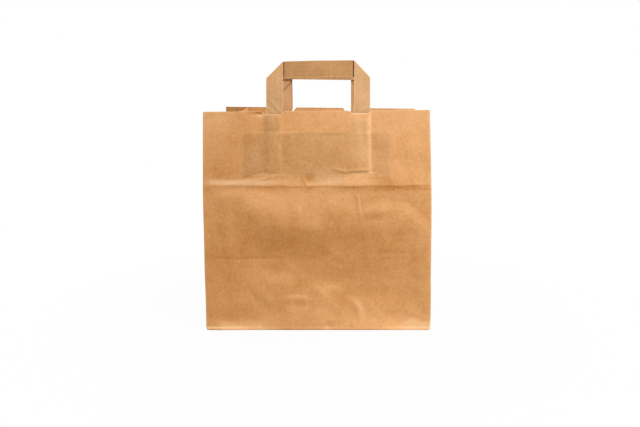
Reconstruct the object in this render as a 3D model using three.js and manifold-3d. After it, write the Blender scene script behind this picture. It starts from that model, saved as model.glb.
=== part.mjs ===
// A block-bottom kraft paper bag with two flat folded tape handles.
// Millimetres, Z up, origin under the middle of the bottom, front panel on the -Y side.

import * as THREE from "three";
import Module from "manifold-3d";

// Sizes of the folded bag.
const BAG_WIDTH = 260;
const BAG_DEPTH = 170;
const PANEL_HEIGHT = 255;
const PAPER = 0.13;

// How the side gussets stand: drawn in at the mouth, and leaning in at the bottom triangle.
const GUSSET_PINCH = 40;
const TRIANGLE_LEAN_DEG = 5;
const GUSSET_ROWS = 6;

// The glued lap of the tube, on the back panel, and the overlap of the two bottom flaps.
const LAP_WIDTH = 20;
const LAP_FROM_EDGE = 14;
const FLAP_OVERLAP = 25;
const FLAP_SLIT = 0.4;

// The handles: a flat tape folded square at both top corners.
const HANDLE_WIDTH = 119;
const HANDLE_RISE = 55;
const TAPE_WIDTH = 19;
const TAPE_THICKNESS = 0.6;
const HANDLE_LEAN_DEG = 5;
const BEND_ABOVE_PATCH = 1;

// The patch that glues a handle's two legs to the inside of its panel.
const PATCH_SIDE = 23;
const PATCH_HEIGHT = 51;
const PATCH_BELOW_MOUTH = 26;
const PATCH_UNDER_LEGS = 6;
const PATCH_THICKNESS = 0.15;
const PATCH_STEP_RUN = 1.5;

// Room left for the glue between pieces that lie on one another.
const GLUE_GAP = 0.3;

const wasm = await Module();
wasm.setup();

const kraft = new THREE.MeshStandardMaterial({ color: 0xc89b68, roughness: 0.85, metalness: 0 });
const tapeKraft = new THREE.MeshStandardMaterial({ color: 0xcfa779, roughness: 0.85, metalness: 0 });

// Sizes worked out from the ones above.
const halfWidth = BAG_WIDTH / 2;
const halfDepth = BAG_DEPTH / 2;
const halfMouth = Math.sqrt(halfDepth ** 2 - GUSSET_PINCH ** 2);
const panelLean = Math.asin((halfDepth - halfMouth) / PANEL_HEIGHT);
const tubeBottom = PAPER;
const mouthZ = tubeBottom + PANEL_HEIGHT * Math.cos(panelLean);

// A glued ply sinks half a sheet into the one that it lies on, so the two join.
const sunk = PAPER / 2;
const gluedPly = PAPER + sunk;

// Triangles of a closed body, from named points and outward-facing loops of names.
function polyhedron(points, loops) {
  const positions = [];
  for (const loop of loops) {
    for (let i = 1; i + 1 < loop.length; i += 1) {
      for (const name of [loop[0], loop[i], loop[i + 1]]) {
        positions.push(...points[name].toArray());
      }
    }
  }
  const geometry = new THREE.BufferGeometry();
  geometry.setAttribute("position", new THREE.Float32BufferAttribute(positions, 3));
  return geometry;
}

// A flat outline pushed along its own +Z.
function plate(outline, thickness) {
  const shape = new THREE.Shape(outline.map(([x, y]) => new THREE.Vector2(x, y)));
  return new THREE.ExtrudeGeometry(shape, { depth: thickness, bevelEnabled: false });
}

// A box given by its two opposite corners.
function block(low, high) {
  const box = new THREE.BoxGeometry(high[0] - low[0], high[1] - low[1], high[2] - low[2]);
  box.translate((low[0] + high[0]) / 2, (low[1] + high[1]) / 2, (low[2] + high[2]) / 2);
  return box;
}

// Joining and cutting.
function toSolid(geometry) {
  const position = geometry.getAttribute("position");
  const index = geometry.getIndex();
  const count = index ? index.count : position.count;
  const vertProperties = new Float32Array(position.array);
  const triVerts = new Uint32Array(count);
  for (let i = 0; i < count; i += 1) {
    triVerts[i] = index ? index.getX(i) : i;
  }
  const mesh = new wasm.Mesh({ numProp: 3, vertProperties, triVerts });
  mesh.merge();
  return new wasm.Manifold(mesh);
}

function toGeometry(solid) {
  const mesh = solid.getMesh();
  const geometry = new THREE.BufferGeometry();
  geometry.setAttribute("position", new THREE.BufferAttribute(mesh.vertProperties, 3));
  geometry.setIndex(new THREE.BufferAttribute(mesh.triVerts, 1));
  const faceted = geometry.toNonIndexed();
  faceted.computeVertexNormals();
  return faceted;
}

function union(geometries) {
  return toGeometry(wasm.Manifold.union(geometries.map(toSolid)));
}

function subtract(geometry, tool) {
  return toGeometry(toSolid(geometry).subtract(toSolid(tool)));
}

function piece(name, geometry, material) {
  const mesh = new THREE.Mesh(geometry, material);
  mesh.name = name;
  return mesh;
}

// The folded tube's points, row by row. Every row has the four panel edges and the two gusset folds.
// The foot row has no gusset folds: there the gusset is a flat triangle up to its apex, on row 0.
// Row GUSSET_ROWS is the mouth, and rows past it carry the folds on above it.
function tubePoints(rows) {
  const lean = THREE.MathUtils.degToRad(TRIANGLE_LEAN_DEG);
  const apexHeight = halfDepth * Math.cos(lean);
  const apexShare = apexHeight / (mouthZ - tubeBottom);
  const points = {};
  for (const [side, sx] of [["L", -1], ["R", 1]]) {
    const apexX = halfWidth - halfDepth * Math.sin(lean);
    const apex = new THREE.Vector3(sx * apexX, 0, tubeBottom + apexHeight);
    const middle = new THREE.Vector3(sx * (halfWidth - GUSSET_PINCH), 0, mouthZ);
    for (let row = 0; row <= rows; row += 1) {
      points[`fold${row}${side}`] = apex.clone().lerp(middle, row / GUSSET_ROWS);
    }
    for (const [face, sy] of [["front", -1], ["back", 1]]) {
      const foot = new THREE.Vector3(sx * halfWidth, sy * halfDepth, tubeBottom);
      const mouth = new THREE.Vector3(sx * halfWidth, sy * halfMouth, mouthZ);
      const above = foot.clone().lerp(mouth, apexShare);
      points[`${face}Foot${side}`] = foot;
      for (let row = 0; row <= rows; row += 1) {
        points[`${face}${row}${side}`] = above.clone().lerp(mouth, row / GUSSET_ROWS);
      }
    }
  }
  return points;
}

// The tube's panels, gusset facets and bottom, facing out.
function tubeWalls(rows) {
  const walls = [
    ["frontFootL", "backFootL", "backFootR", "frontFootR"],
    ["frontFootL", "frontFootR", "front0R", "front0L"],
    ["backFootR", "backFootL", "back0L", "back0R"],
    ["frontFootR", "backFootR", "fold0R"],
    ["frontFootR", "fold0R", "front0R"],
    ["backFootR", "back0R", "fold0R"],
    ["backFootL", "frontFootL", "fold0L"],
    ["frontFootL", "front0L", "fold0L"],
    ["backFootL", "fold0L", "back0L"],
  ];
  for (let row = 0; row < rows; row += 1) {
    const up = row + 1;
    walls.push([`front${row}L`, `front${row}R`, `front${up}R`, `front${up}L`]);
    walls.push([`back${row}R`, `back${row}L`, `back${up}L`, `back${up}R`]);
    walls.push([`front${row}R`, `fold${row}R`, `fold${up}R`, `front${up}R`]);
    walls.push([`back${row}R`, `back${up}R`, `fold${up}R`, `fold${row}R`]);
    walls.push([`front${row}L`, `front${up}L`, `fold${up}L`, `fold${row}L`]);
    walls.push([`back${row}L`, `fold${row}L`, `fold${up}L`, `back${up}L`]);
  }
  return walls;
}

// The two flat halves that close the tube at a row.
function tubeCaps(row) {
  return [
    [`front${row}L`, `front${row}R`, `fold${row}R`, `fold${row}L`],
    [`fold${row}L`, `fold${row}R`, `back${row}R`, `back${row}L`],
  ];
}

// The way a loop of points faces, also where the loop is slightly twisted.
function facing(loop) {
  const normal = new THREE.Vector3();
  for (let i = 0; i < loop.length; i += 1) {
    normal.add(loop[i].clone().cross(loop[(i + 1) % loop.length]));
  }
  return normal.normalize();
}

// Each point moved in so that every wall that meets at it moves in by the same distance.
// The damping keeps a point from sliding along the fold that it lies on.
function insetPoints(points, loops, distance) {
  const damping = 0.02;
  const moved = {};
  for (const name of Object.keys(points)) {
    const sums = new THREE.Matrix3().identity().multiplyScalar(damping);
    const total = new THREE.Vector3();
    for (const loop of loops.filter((wall) => wall.includes(name))) {
      const normal = facing(loop.map((corner) => points[corner]));
      const across = normal.toArray();
      for (let row = 0; row < 3; row += 1) {
        for (let column = 0; column < 3; column += 1) {
          sums.elements[column * 3 + row] += across[row] * across[column];
        }
      }
      total.add(normal);
    }
    const offset = total.applyMatrix3(sums.invert());
    moved[name] = points[name].clone().addScaledVector(offset, -distance);
  }
  return moved;
}

// A frame that lies on a panel's outer face: X across, Y inwards, Z up the panel.
function panelGroup(name, turn) {
  const group = new THREE.Group();
  group.name = name;
  group.rotation.set(-panelLean, 0, turn, "ZYX");
  group.position.set(0, turn === 0 ? -halfDepth : halfDepth, tubeBottom);
  group.updateMatrixWorld(true);
  return group;
}

const frontPanel = panelGroup("front_panel", 0);
const backPanel = panelGroup("back_panel", Math.PI);

// One bottom flap: square-cornered at its fold, cut back at 45 degrees to its free edge.
function flapOutline(reach, from) {
  const near = from + halfDepth;
  return [
    [-halfWidth + near, from],
    [halfWidth - near, from],
    [halfWidth - near - (reach - from), reach],
    [-halfWidth + near + (reach - from), reach],
  ];
}

// The body: the tube in one ply, the glued lap, and the two flaps that close the bottom.
function buildBody() {
  const outerLoops = [...tubeWalls(GUSSET_ROWS), ...tubeCaps(GUSSET_ROWS)];
  const outer = polyhedron(tubePoints(GUSSET_ROWS), outerLoops);
  const cutRows = GUSSET_ROWS + 1;
  const cutWalls = tubeWalls(cutRows);
  const cutPoints = insetPoints(tubePoints(cutRows), cutWalls, PAPER);
  const inner = polyhedron(cutPoints, [...cutWalls, ...tubeCaps(cutRows)]);
  const shell = subtract(outer, inner);

  const lapRight = halfWidth - LAP_FROM_EDGE;
  const lapTop = PANEL_HEIGHT - PAPER;
  const lap = block([lapRight - LAP_WIDTH, sunk, PAPER], [lapRight, sunk + gluedPly, lapTop]);
  lap.applyMatrix4(backPanel.matrixWorld);

  const innerFlap = plate(flapOutline(-FLAP_OVERLAP / 2 - FLAP_SLIT, -halfDepth), gluedPly);
  const outerFlap = plate(flapOutline(FLAP_OVERLAP / 2, -halfDepth), gluedPly);
  outerFlap.rotateZ(Math.PI);
  const tucked = plate(flapOutline(FLAP_OVERLAP / 2, -FLAP_OVERLAP / 2), gluedPly);
  tucked.translate(0, 0, gluedPly);
  return union([shell, lap, innerFlap, outerFlap, tucked]);
}

// A handle: two legs lying on the panel, bent in above the patch, and the bar folded behind them.
const legOuter = HANDLE_WIDTH / 2;
const legInner = legOuter - TAPE_WIDTH;
const patchTop = PANEL_HEIGHT - PATCH_BELOW_MOUTH;
const patchBottom = patchTop - PATCH_HEIGHT;
const bendHeight = patchTop + BEND_ABOVE_PATCH;
const legFace = PAPER + GLUE_GAP;

function buildHandle() {
  const lean = THREE.MathUtils.degToRad(HANDLE_LEAN_DEG);
  const top = (PANEL_HEIGHT + HANDLE_RISE - bendHeight) / Math.cos(lean);
  const shoulder = top - TAPE_WIDTH;
  const leftLeg = plate(
    [[-legOuter, 0], [-legInner, 0], [-legInner, top], [-legOuter, shoulder]],
    TAPE_THICKNESS,
  );
  const rightLeg = plate(
    [[legInner, 0], [legOuter, 0], [legOuter, shoulder], [legInner, top]],
    TAPE_THICKNESS,
  );
  const bar = plate(
    [[-legOuter, shoulder], [legOuter, shoulder], [legInner, top], [-legInner, top]],
    TAPE_THICKNESS,
  );
  bar.translate(0, 0, -TAPE_THICKNESS);

  // The plates' own +Z turns to face out of the bag, so the legs lie in front of the bar.
  const raised = union([leftLeg, rightLeg, bar]);
  raised.translate(0, 0, -TAPE_THICKNESS);
  raised.rotateX(Math.PI / 2 - lean);
  raised.translate(0, legFace, bendHeight);

  const tailBottom = patchBottom + PATCH_UNDER_LEGS;
  const legBack = legFace + TAPE_THICKNESS;
  const leftTail = block([-legOuter, legFace, tailBottom], [-legInner, legBack, bendHeight]);
  const rightTail = block([legInner, legFace, tailBottom], [legOuter, legBack, bendHeight]);
  return union([raised, leftTail, rightTail]);
}

// A patch: flat on the panel, stepping over each leg.
function buildPatch() {
  const low = PAPER + GLUE_GAP;
  const high = legFace + TAPE_THICKNESS + GLUE_GAP;
  const out = legOuter + GLUE_GAP;
  const into = legInner - GLUE_GAP;
  const edge = legOuter + PATCH_SIDE;
  const rightHalf = [
    [into - PATCH_STEP_RUN, low],
    [into, high],
    [out, high],
    [out + PATCH_STEP_RUN, low],
    [edge, low],
  ];
  const leftHalf = rightHalf.map(([x, y]) => [-x, y]).reverse();
  const under = [...leftHalf, ...rightHalf];
  const over = under.map(([x, y]) => [x, y + PATCH_THICKNESS]).reverse();
  const patch = plate([...under, ...over], PATCH_HEIGHT);
  patch.translate(0, 0, patchBottom);
  return patch;
}

const bag = new THREE.Group();
bag.name = "paper_carrier_bag";
bag.add(piece("bag_body", buildBody(), kraft));
for (const [panel, side] of [[frontPanel, "front"], [backPanel, "back"]]) {
  panel.add(piece(`${side}_handle`, buildHandle(), tapeKraft));
  panel.add(piece(`${side}_patch`, buildPatch(), kraft));
  bag.add(panel);
}

export default bag;
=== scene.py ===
# A kraft paper carrier bag with two flat folded tape handles, standing open on a pale floor.
# Sizes are in millimetres up to the point where a mesh gets its places, which are in metres.
# In the functions x runs across a panel, v up along it, and g from a panel's fold into its gusset.
# A front piece has side -1 and a back piece side 1. A left piece has hand -1 and a right piece hand 1.

import math

import bpy
import numpy as np
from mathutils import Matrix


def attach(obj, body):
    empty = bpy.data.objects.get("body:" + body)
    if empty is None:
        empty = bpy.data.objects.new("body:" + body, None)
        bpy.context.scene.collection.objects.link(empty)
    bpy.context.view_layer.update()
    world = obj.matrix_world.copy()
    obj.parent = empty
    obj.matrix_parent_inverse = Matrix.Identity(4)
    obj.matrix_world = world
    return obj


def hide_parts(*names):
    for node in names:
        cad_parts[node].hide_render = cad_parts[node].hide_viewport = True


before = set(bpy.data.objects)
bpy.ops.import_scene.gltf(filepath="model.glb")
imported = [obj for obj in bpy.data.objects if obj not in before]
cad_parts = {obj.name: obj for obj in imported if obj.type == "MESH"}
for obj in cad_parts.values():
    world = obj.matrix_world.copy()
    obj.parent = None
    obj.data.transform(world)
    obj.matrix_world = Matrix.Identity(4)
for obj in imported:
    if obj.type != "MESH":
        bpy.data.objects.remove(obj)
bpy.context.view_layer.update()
bpy.ops.object.select_all(action="DESELECT")

MM = 0.001

# Sizes of the folded bag, the same as the fixed frame's.
HALF_WIDTH = 130.0
HALF_DEPTH = 85.0
PANEL_HEIGHT = 255.0
HALF_MOUTH = 75.0
GUSSET_PINCH = 40.0
TRIANGLE_LEAN = math.radians(5)
PAPER = 0.13
TUBE_BOTTOM = 0.30
LEAN = math.asin((HALF_DEPTH - HALF_MOUTH) / PANEL_HEIGHT)

# The foot stands a little askew of the mouth, by this slope.
FOOT_SKEW = 0.016

# How far the folds and the foot are rounded in, and how near to them that starts.
FOLD_IN = 0.2
FOOT_IN = 0.25
ROUND_REACH = 1.2

# The lap seam on the back panel: its two edges, how soft they are, and how far it stands out.
LAP_EDGES = (-115.75, -95.75)
LAP_SOFT = 0.25
LAP_LIFT = 0.16

# Sizes of the handles and of the patches that hold them.
TAPE_WIDTH = 19.0
HALF_TAPE = TAPE_WIDTH / 2
TAPE_THICKNESS = 0.5
TAPE_ROUND = 0.5
HANDLE_HALF = 59.5
HANDLE_RISE = 55.6
BACK_EXTRA_RISE = 2.0
HANDLE_LEAN = math.radians(5)
LEG_INNER = HANDLE_HALF - TAPE_WIDTH
LEG_FOLD = 230.0
TAIL_END = 184.0
PATCH_HALF = 82.5
PATCH_TOP = 229.0
PATCH_FOOT = 178.0
PATCH_PAPER = 0.12
GLUE_GAP = 0.3

# How far each handle has slipped to the right.
FRONT_HANDLE_SLIP = 1.7
BACK_HANDLE_SLIP = 2.5

# The front handle's left leg and its right leg's inner edge lie to the right, and its left end hangs lower.
LEFT_LEG_SHIFT = 1.5
RIGHT_EDGE_SHIFT = 1.0
LEFT_END_DROP = 0.85

# The back handle is narrower above the patch, and slopes down to the right.
BACK_HANDLE_SQUEEZE = 0.035
BACK_HANDLE_SLOPE = 0.017

# The edges of the plies inside the tape, across it, and how far each ply stands out.
TAPE_PLIES = (-7.0, -2.4)
PLY_SOFT = 0.15
PLY_LIFT = 0.03

# Heights of the creases that the bag keeps from lying flat in its bundle.
BUNDLE_FOLD = 84.0
FLAP_EDGE = 165.0

# The two flaps of the bottom: how far each reaches past the middle, how far its fold lies in from the bag's,
# the thickness of its paper, and its height.
FLAP_LAP = 12.5
FLAP_INSET = 1.0
FLAP_PAPER = 0.08
FRONT_FLAP_HEIGHT = 0.21
BACK_FLAP_HEIGHT = 0.08

# Edges sharper than these angles, in degrees, stay sharp.
BAG_SMOOTH = 32
SHEET_SMOOTH = 40

# Spacing of the mesh across the front and the back, beside each fold, and how many steps half a gusset has.
FRONT_STEP = 2.0
BACK_STEP = 3.0
BESIDE_FOLD = 0.7
DIAGONAL_STEPS = 30

# Rows up the tube: near the foot, spans with their step that are closer at the flap's mark, and at the mouth.
FOOT_ROWS = [0.0, BESIDE_FOLD, 1.5, 4.0]
ROW_SPANS = [(HALF_DEPTH + 2.0, 158.5, 2.1), (159.5, 189.5, 1.1), (191.0, 246.0, 2.1)]
MOUTH_ROWS = [247.5, 249.5, 251.2, 252.8, 254.0, PANEL_HEIGHT]

# The photograph's camera.
CAMERA_PLACE = (0.0257, -0.8095, 0.2669)
CAMERA_TURN = (math.radians(90 - 6.56), math.radians(0.3), math.radians(1.74))
CAMERA_LENS = 36.32
CAMERA_SHIFT = -0.0625

# The floor: how much light it throws back, how much of it glows white under the bag, and from where to
# where, in metres from the middle, that grows to all of it.
FLOOR_GREY = 0.36
FLOOR_GLOW = 0.965
FLOOR_NEAR = 0.12
FLOOR_FAR = 0.42

# The light from all round.
WORLD_COLOUR = (1.0, 0.89, 0.72)
WORLD_STRENGTH = 0.32

# Tints on the paper: painted shade over what lies behind it, painted warm light at the back left corner of
# the mouth, and painted warmer light low on the bag, with the heights in metres where the last one starts and
# is full.
SHADE_THROUGH_TINT = (0.84, 0.86, 0.87)
WARM_LIGHT_TINT = (1.0, 0.88, 0.66)
LOW_LIGHT_TINT = (1.0, 0.97, 0.90)
LOW_FROM = 0.150
LOW_FULL = 0.095

# How much of the pale colour the paper takes where it is most worn or has the strongest painted highlight,
# and how far the tone moves along the colours.
WEAR_AND_HIGHLIGHT_SHARE = 0.4
TONE_SHARE = 0.4

# How far the front panel stands out from flat: for some places across it, heights up and how far out.
FRONT_HEIGHTS = (0, 5, 14, 40, 60, 70, 84, 100, 120, 135, 145, 160, 255)
FRONT_BENDS = {
    -130: (0, -1.4, -1.9, -1.7, -1.3, -1.1, -0.8, -0.4, -0.1, 0.0, 0.0, 0, 0),
    -100: (0, -1.6, -2.1, -1.9, -1.3, -1.2, -0.7, 0.1, 0.3, 0.2, 0.2, 0, 0),
    -62: (0, -0.9, -1.9, -2.4, -2.7, -2.9, -2.6, -1.3, 1.0, 1.9, 1.5, 0.1, 0),
    -28: (0, -0.4, -1.0, -2.7, -3.0, -3.0, -2.7, -1.4, 0.7, 1.2, 0.9, 0.1, 0),
    -5: (0, -0.4, -0.9, -2.9, -3.2, -3.1, -2.7, -1.5, 0.7, 0.8, 0.5, 0.1, 0),
    20: (0, -0.6, -1.6, -3.4, -3.6, -2.9, -2.4, -1.5, 0.0, 0.6, 0.4, 0.1, 0),
    60: (0, -0.8, -2.1, -3.8, -3.9, -3.5, -2.9, -1.9, -0.5, -0.1, -0.1, 0.1, 0),
    100: (0, -1.4, -2.8, -3.6, -3.9, -3.5, -2.9, -2.1, -1.4, -1.1, -0.6, 0, 0),
    130: (0, -1.5, -2.7, -3.2, -3.4, -3.0, -2.5, -1.9, -1.2, -0.9, -0.5, 0, 0),
}

# The bends are eased over these steps up and down, each with its weight.
BEND_EASING = ((-5, 0.15), (-2.5, 0.2), (0, 0.3), (2.5, 0.2), (5, 0.15))

# The front panel bulges around a place right of its middle: how far, where, and how wide.
FRONT_BULGE = 2.0
BULGE_MIDDLE = 30.0
BULGE_REACH = 160.0

# Dents in the front panel: middle, reach across and up, and depth.
FRONT_DENTS = [
    ((-8, 175), (7, 6), 0.38),
    ((66, 130), (12, 5), 0.3),
    ((12, 5), (4, 4), 0.5),
]

# Creases in the front panel: start, end, half the width, and height. A groove has a height below nought.
FRONT_CREASES = [
    ((-15, 177), (-9, 167), 3.5, 0.3),
    ((0, 177), (-7, 167), 3.5, 0.3),
    ((42, 160), (48, 152), 3.0, 0.2),
    ((47, 156), (49, 136), 3.0, 0.26),
    ((-140, 84.5), (-38, 83.5), 2.4, -0.16),
    ((46, 84), (140, 85), 2.4, -0.12),
    ((70, 90), (140, 91), 2.4, -0.07),
    ((-84, 177), (-59, 185), 2.6, -0.22),
    ((-64, 184), (-37, 187), 2.6, -0.08),
    ((-80, 173), (-52, 178), 3.5, 0.2),
    ((20, 188), (34, 184), 3.0, 0.25),
    ((34, 185), (62, 187), 3.0, 0.25),
]

# Shelves in the front panel: start, end, reach of the upper and of the lower side, and height.
FRONT_SHELVES = [
    ((44, 134), (78, 141), 11.0, 30.0, 0.35),
    ((66, 141), (106, 137), 12.0, 34.0, 0.35),
    ((94, 141), (134, 108), 12.0, 34.0, 0.5),
    ((-66, 54), (-18, 52), 18.0, 34.0, 0.42),
    ((-14, 41), (28, 42), 13.0, 30.0, 0.38),
    ((-44, 36), (-14, 37), 4.0, 9.0, 0.22),
    ((30, 38), (48, 29), 6.0, 12.0, 0.2),
    ((43, 34), (51, 10), 4.0, 8.0, 0.32),
    ((100, 24), (134, 4), 9.0, 30.0, 0.4),
    ((-134, 8), (-92, 1), 8.0, 30.0, 0.35),
    ((26, 172.5), (60, 173.5), 10.0, 26.0, 0.5),
    ((-112, 154), (-52, 155), 12.0, 26.0, 0.42),
]

# The flap's edge has marked the front panel: how far the line stands out, and the softer fall below it.
FLAP_LINE = [
    (-130, 0.16), (-100, 0.13), (-75, 0.12), (-50, 0.20), (-18, 0.24), (20, 0.21), (46, 0.30), (80, 0.36),
    (130, 0.44),
]
FLAP_SOFT = [
    (-130, 0.10), (-110, 0.04), (-60, 0.02), (0, 0.08), (30, 0.14), (46, 0.22), (80, 0.24), (130, 0.2),
]

# How far up the flap's mark reaches, how dark the painted shade of the strip under it is, and how pale the
# painted highlight on the slope above it is.
FLAP_REACH = [
    (-130, 16), (-118, 7), (-85, 7), (-49, 9), (-30, 14), (4, 11), (40, 14), (62, 30), (80, 70), (130, 70),
]
FLAP_STRIP = [
    (-130, 0.15), (-112, 0.02), (-75, 0.0), (-50, 0.1), (-18, 0.07), (14, 0.0), (46, 0.12), (80, 0.28),
    (130, 0.3),
]
FLAP_PALE = [
    (-130, 0.2), (-118, 1.0), (-80, 1.2), (-55, 0.8), (-35, 0.2), (-10, 0.1), (6, 0.7), (40, 0.45), (60, 0.2),
    (75, 0.0), (130, 0.0),
]

# How strongly the patch and the legs show through the paper as painted shade, and how far down the paper lies
# on the patch.
PATCH_SHADE = [(-83, 1.0), (-40, 0.9), (0, 1.0), (36, 0.9), (42, 0.3), (60, 0.3), (64, 0.7), (83, 0.7)]
LEG_SHADE = [(-50, 1.0), (50, 0.4)]
PATCH_FADE = [
    (-83, 176), (-66, 177), (-57, 183), (-34, 183), (-22, 179), (-12, 176), (30, 176), (40, 182), (74, 182),
    (83, 178),
]

# How pale the fold at the front panel's foot is, from rubbing and a painted highlight, and how high the
# painted highlight on the corner at its right reaches.
FOOT_PALE = [
    (-130, 1.4), (-112, 1.3), (-98, 0.8), (-80, 0.25), (-40, 0.25), (-18, 0.15), (0, 0.5), (14, 0.6),
    (40, 0.15), (80, 0.15), (110, 0.5), (130, 0.5),
]
CORNER_REACH = [(85, 1), (95, 8), (110, 17), (120, 12), (130, 10)]

# Pale lines on the front panel, rubbed creases and painted highlights: start, end, half the width, and
# strength.
WEAR_AND_HIGHLIGHT_LINES = [
    ((-36, 39), (-20, 40), 3.2, 0.36),
    ((-26, 41), (-12, 38), 3.2, 0.36),
    ((-14, 41), (-12, 26), 3.0, 0.3),
    ((47.5, 160), (49.5, 132), 2.2, 0.38),
    ((42, 34), (52, 24), 3.2, 0.45),
    ((50, 29), (54.5, 11), 3.4, 0.45),
    ((-80, 174), (-52, 179), 2.0, 0.15),
    ((36, 181.5), (68, 184), 2.0, 0.75),
]

# Pale spots on the front panel, rubbed and painted highlights: middle, reach across and up, and strength.
WEAR_AND_HIGHLIGHT_SPOTS = [((-63.5, 248.8), (3.2, 2.3), 1.1), ((16, 178), (14, 4), 0.4)]

# Lighter and darker spots on the front panel, stains and painted light and shade of its domes and dents:
# middle, reach across and up, and strength.
STAIN_AND_SHADE_SPOTS = [
    ((80, 173), (12, 6), -0.2), ((-108, 195), (22, 16), -0.1), ((47, 20), (14, 9), 0.12),
    ((-108, 85), (18, 8), -0.09), ((-108, 40), (18, 8), -0.1), ((-30, 242), (13, 9), -0.16),
    ((24, 136), (12, 9), -0.14), ((-86, 102), (13, 14), -0.1), ((-31, 30), (12, 10), 0.16),
    ((-58, 146), (13, 16), -0.09), ((-89, 164), (8, 6), 0.17), ((-12, 174), (7, 4), -0.2),
    ((7, 167), (6, 3), 0.2), ((30, 158), (14, 5), 0.17), ((-7, 175), (6, 3.5), -0.22),
    ((-34, 188), (5, 9), 0.16), ((54, 183.5), (9, 1.8), 0.25), ((-52, 190), (6, 6), 0.14),
    ((-44, 182.5), (5, 2), 0.36), ((3, 181), (7, 5), 0.16), ((72, 156), (9, 5), -0.14),
    ((66, 87), (9, 4), 0.14), ((-41, 62), (13, 9), 0.1), ((-20, 54), (6, 7), -0.14),
    ((-20, 31), (6, 5), -0.16), ((10, 49), (11, 8), 0.1), ((28, 34), (6, 9), -0.14),
    ((39, 5), (3, 3), -0.3),
]

# Corners of the front panel that are paler, and corners painted lighter or darker as light and shade: where
# each starts and is full across, where it starts and is full up the panel, and its strength.
PALE_CORNERS = [((62, 84), (176, 200), 0.15), ((-92, -112), (186, 205), 0.12)]
LIGHT_AND_SHADE_CORNERS = [
    ((-95, -115), (222, 246), 0.12),
    ((88, 115), (138, 112), 0.1),
    ((62, 84), (176, 200), -0.12),
]

# A painted shadow in a slot at the front mouth beside the left leg: places across and how dark.
MOUTH_SLOT_SHADOW = [(-82, 0), (-74, 0.25), (-66, 1.0), (-62, 1.0), (-60, 0)]

# How far the back panel is drawn in, by height, and its creases, given as the front's are.
BACK_BEND = [(0, 0), (12, 1.1), (60, 1.3), (150, -0.8), (230, 0.2), (255, 0)]
BACK_CREASES = [
    ((-128, 92), (40, 84), 6.0, -0.5),
    ((30, 86), (129, 96), 6.0, -0.45),
    ((-110, 170), (-20, 176), 5.0, 0.35),
]

# Creases in the front handle's legs: start, end, and height.
FOOT_CREASES = [
    ((-57, 268), (-42, 252), 1.0),
    ((-60, 259), (-49, 251), 0.6),
    ((44, 264), (57, 273), 0.6),
    ((47, 253), (59, 259), 0.8),
    ((-53, 272), (-41, 279), -0.5),
]

# Lengths of the slow and of the quick waves in the paper.
SLOW_WAVES = (45, 140)
QUICK_WAVES = (16, 40)

# The heights over which faint creases are strewn.
CRUMPLED = (0, 250)

# The heights from which the mouth's dips and its slope draw the paper down.
DIPS_FROM = 236
SLOPE_FROM = 150

# The mouth's edge dips with straight sides where a leg passes it: places across and how far down.
FRONT_DIPS = [
    (-66.5, 0), (-62.5, 0.6), (-58.7, 3.3), (-40.5, 3.5), (-35.6, 0), (36.4, 0), (41.0, 2.8), (59.2, 3.0),
    (63.7, 0),
]
BACK_DIPS = [
    (-68.0, 0), (-63.0, 4.8), (-36.3, 4.8), (-32.6, 0), (31.4, 0), (34.6, 4.8), (62.0, 4.8), (67.0, 0),
]

# The folds between panel and gusset aren't quite straight: heights and how far each lies to the right.
RIGHT_SLIP = [
    (0, -1.7), (2, -0.5), (4, 0.3), (8, 0.8), (60, 0.9), (88, 0.9), (100, 0.5), (140, 0.5), (160, 0.4),
    (180, -0.5), (195, -0.9), (215, -1.3), (255, -2.3),
]
LEFT_SLIP = [
    (0, 2.4), (2, 0.2), (4, -0.8), (46, -0.8), (75, -1.5), (100, -1.7), (150, -1.8), (180, -1.8), (200, -1.6),
    (222, -1.0), (255, -0.1),
]


# A smooth rise from nought at low to one at high, or a fall where low is the greater.
def soft_step(low, high, value):
    share = np.clip((value - low) / (high - low), 0.0, 1.0)
    return share * share * (3.0 - 2.0 * share)


# One between low and high, with soft edges.
def band(value, low, high, soft):
    rise = soft_step(low - soft, low + soft, value)
    fall = soft_step(high - soft, high + soft, value)
    return rise * (1.0 - fall)


# Straight lines through a table of places and heights.
def through(value, knots):
    places = [knot[0] for knot in knots]
    heights = [knot[1] for knot in knots]
    return np.interp(value, places, heights)


# A round mound with no edge.
def mound(x, v, middle, reach, height):
    far = ((x - middle[0]) / reach[0]) ** 2 + ((v - middle[1]) / reach[1]) ** 2
    return height * np.exp(-far)


# A corner of a panel that fades in across and up.
def corner_fade(x, v, across, up, height):
    return height * soft_step(*across, x) * soft_step(*up, v)


# How far each point lies along a line and to its left, and how long the line is.
def beside_line(x, v, start, end):
    run = (end[0] - start[0], end[1] - start[1])
    length = math.hypot(run[0], run[1])
    along = ((x - start[0]) * run[0] + (v - start[1]) * run[1]) / length
    across = ((v - start[1]) * run[0] - (x - start[0]) * run[1]) / length
    return along, across, length


# A crease along a straight line: a tent of paper that dies away at both ends.
def crease(x, v, start, end, width, height):
    along, across, length = beside_line(x, v, start, end)
    ends = band(along, 0.0, length, min(0.35 * length, 8.0))
    tent = np.clip(1.0 - np.abs(across) / width, 0.0, None)
    return height * ends * tent * (0.35 + 0.65 * tent)


# A bend along a straight line that falls away over one reach above it and over another below it.
def shelf(x, v, start, end, upper, lower, height):
    along, across, length = beside_line(x, v, start, end)
    ends = band(along, 0.0, length, min(0.45 * length, 10.0))
    fall = np.where(across > 0, across / upper, -across / lower)
    return height * ends * (1.0 - soft_step(0.0, 1.0, fall))


# All the marks of one kind in a table, added up.
def all_marks(kind, x, v, table):
    return sum(kind(x, v, *mark) for mark in table)


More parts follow.
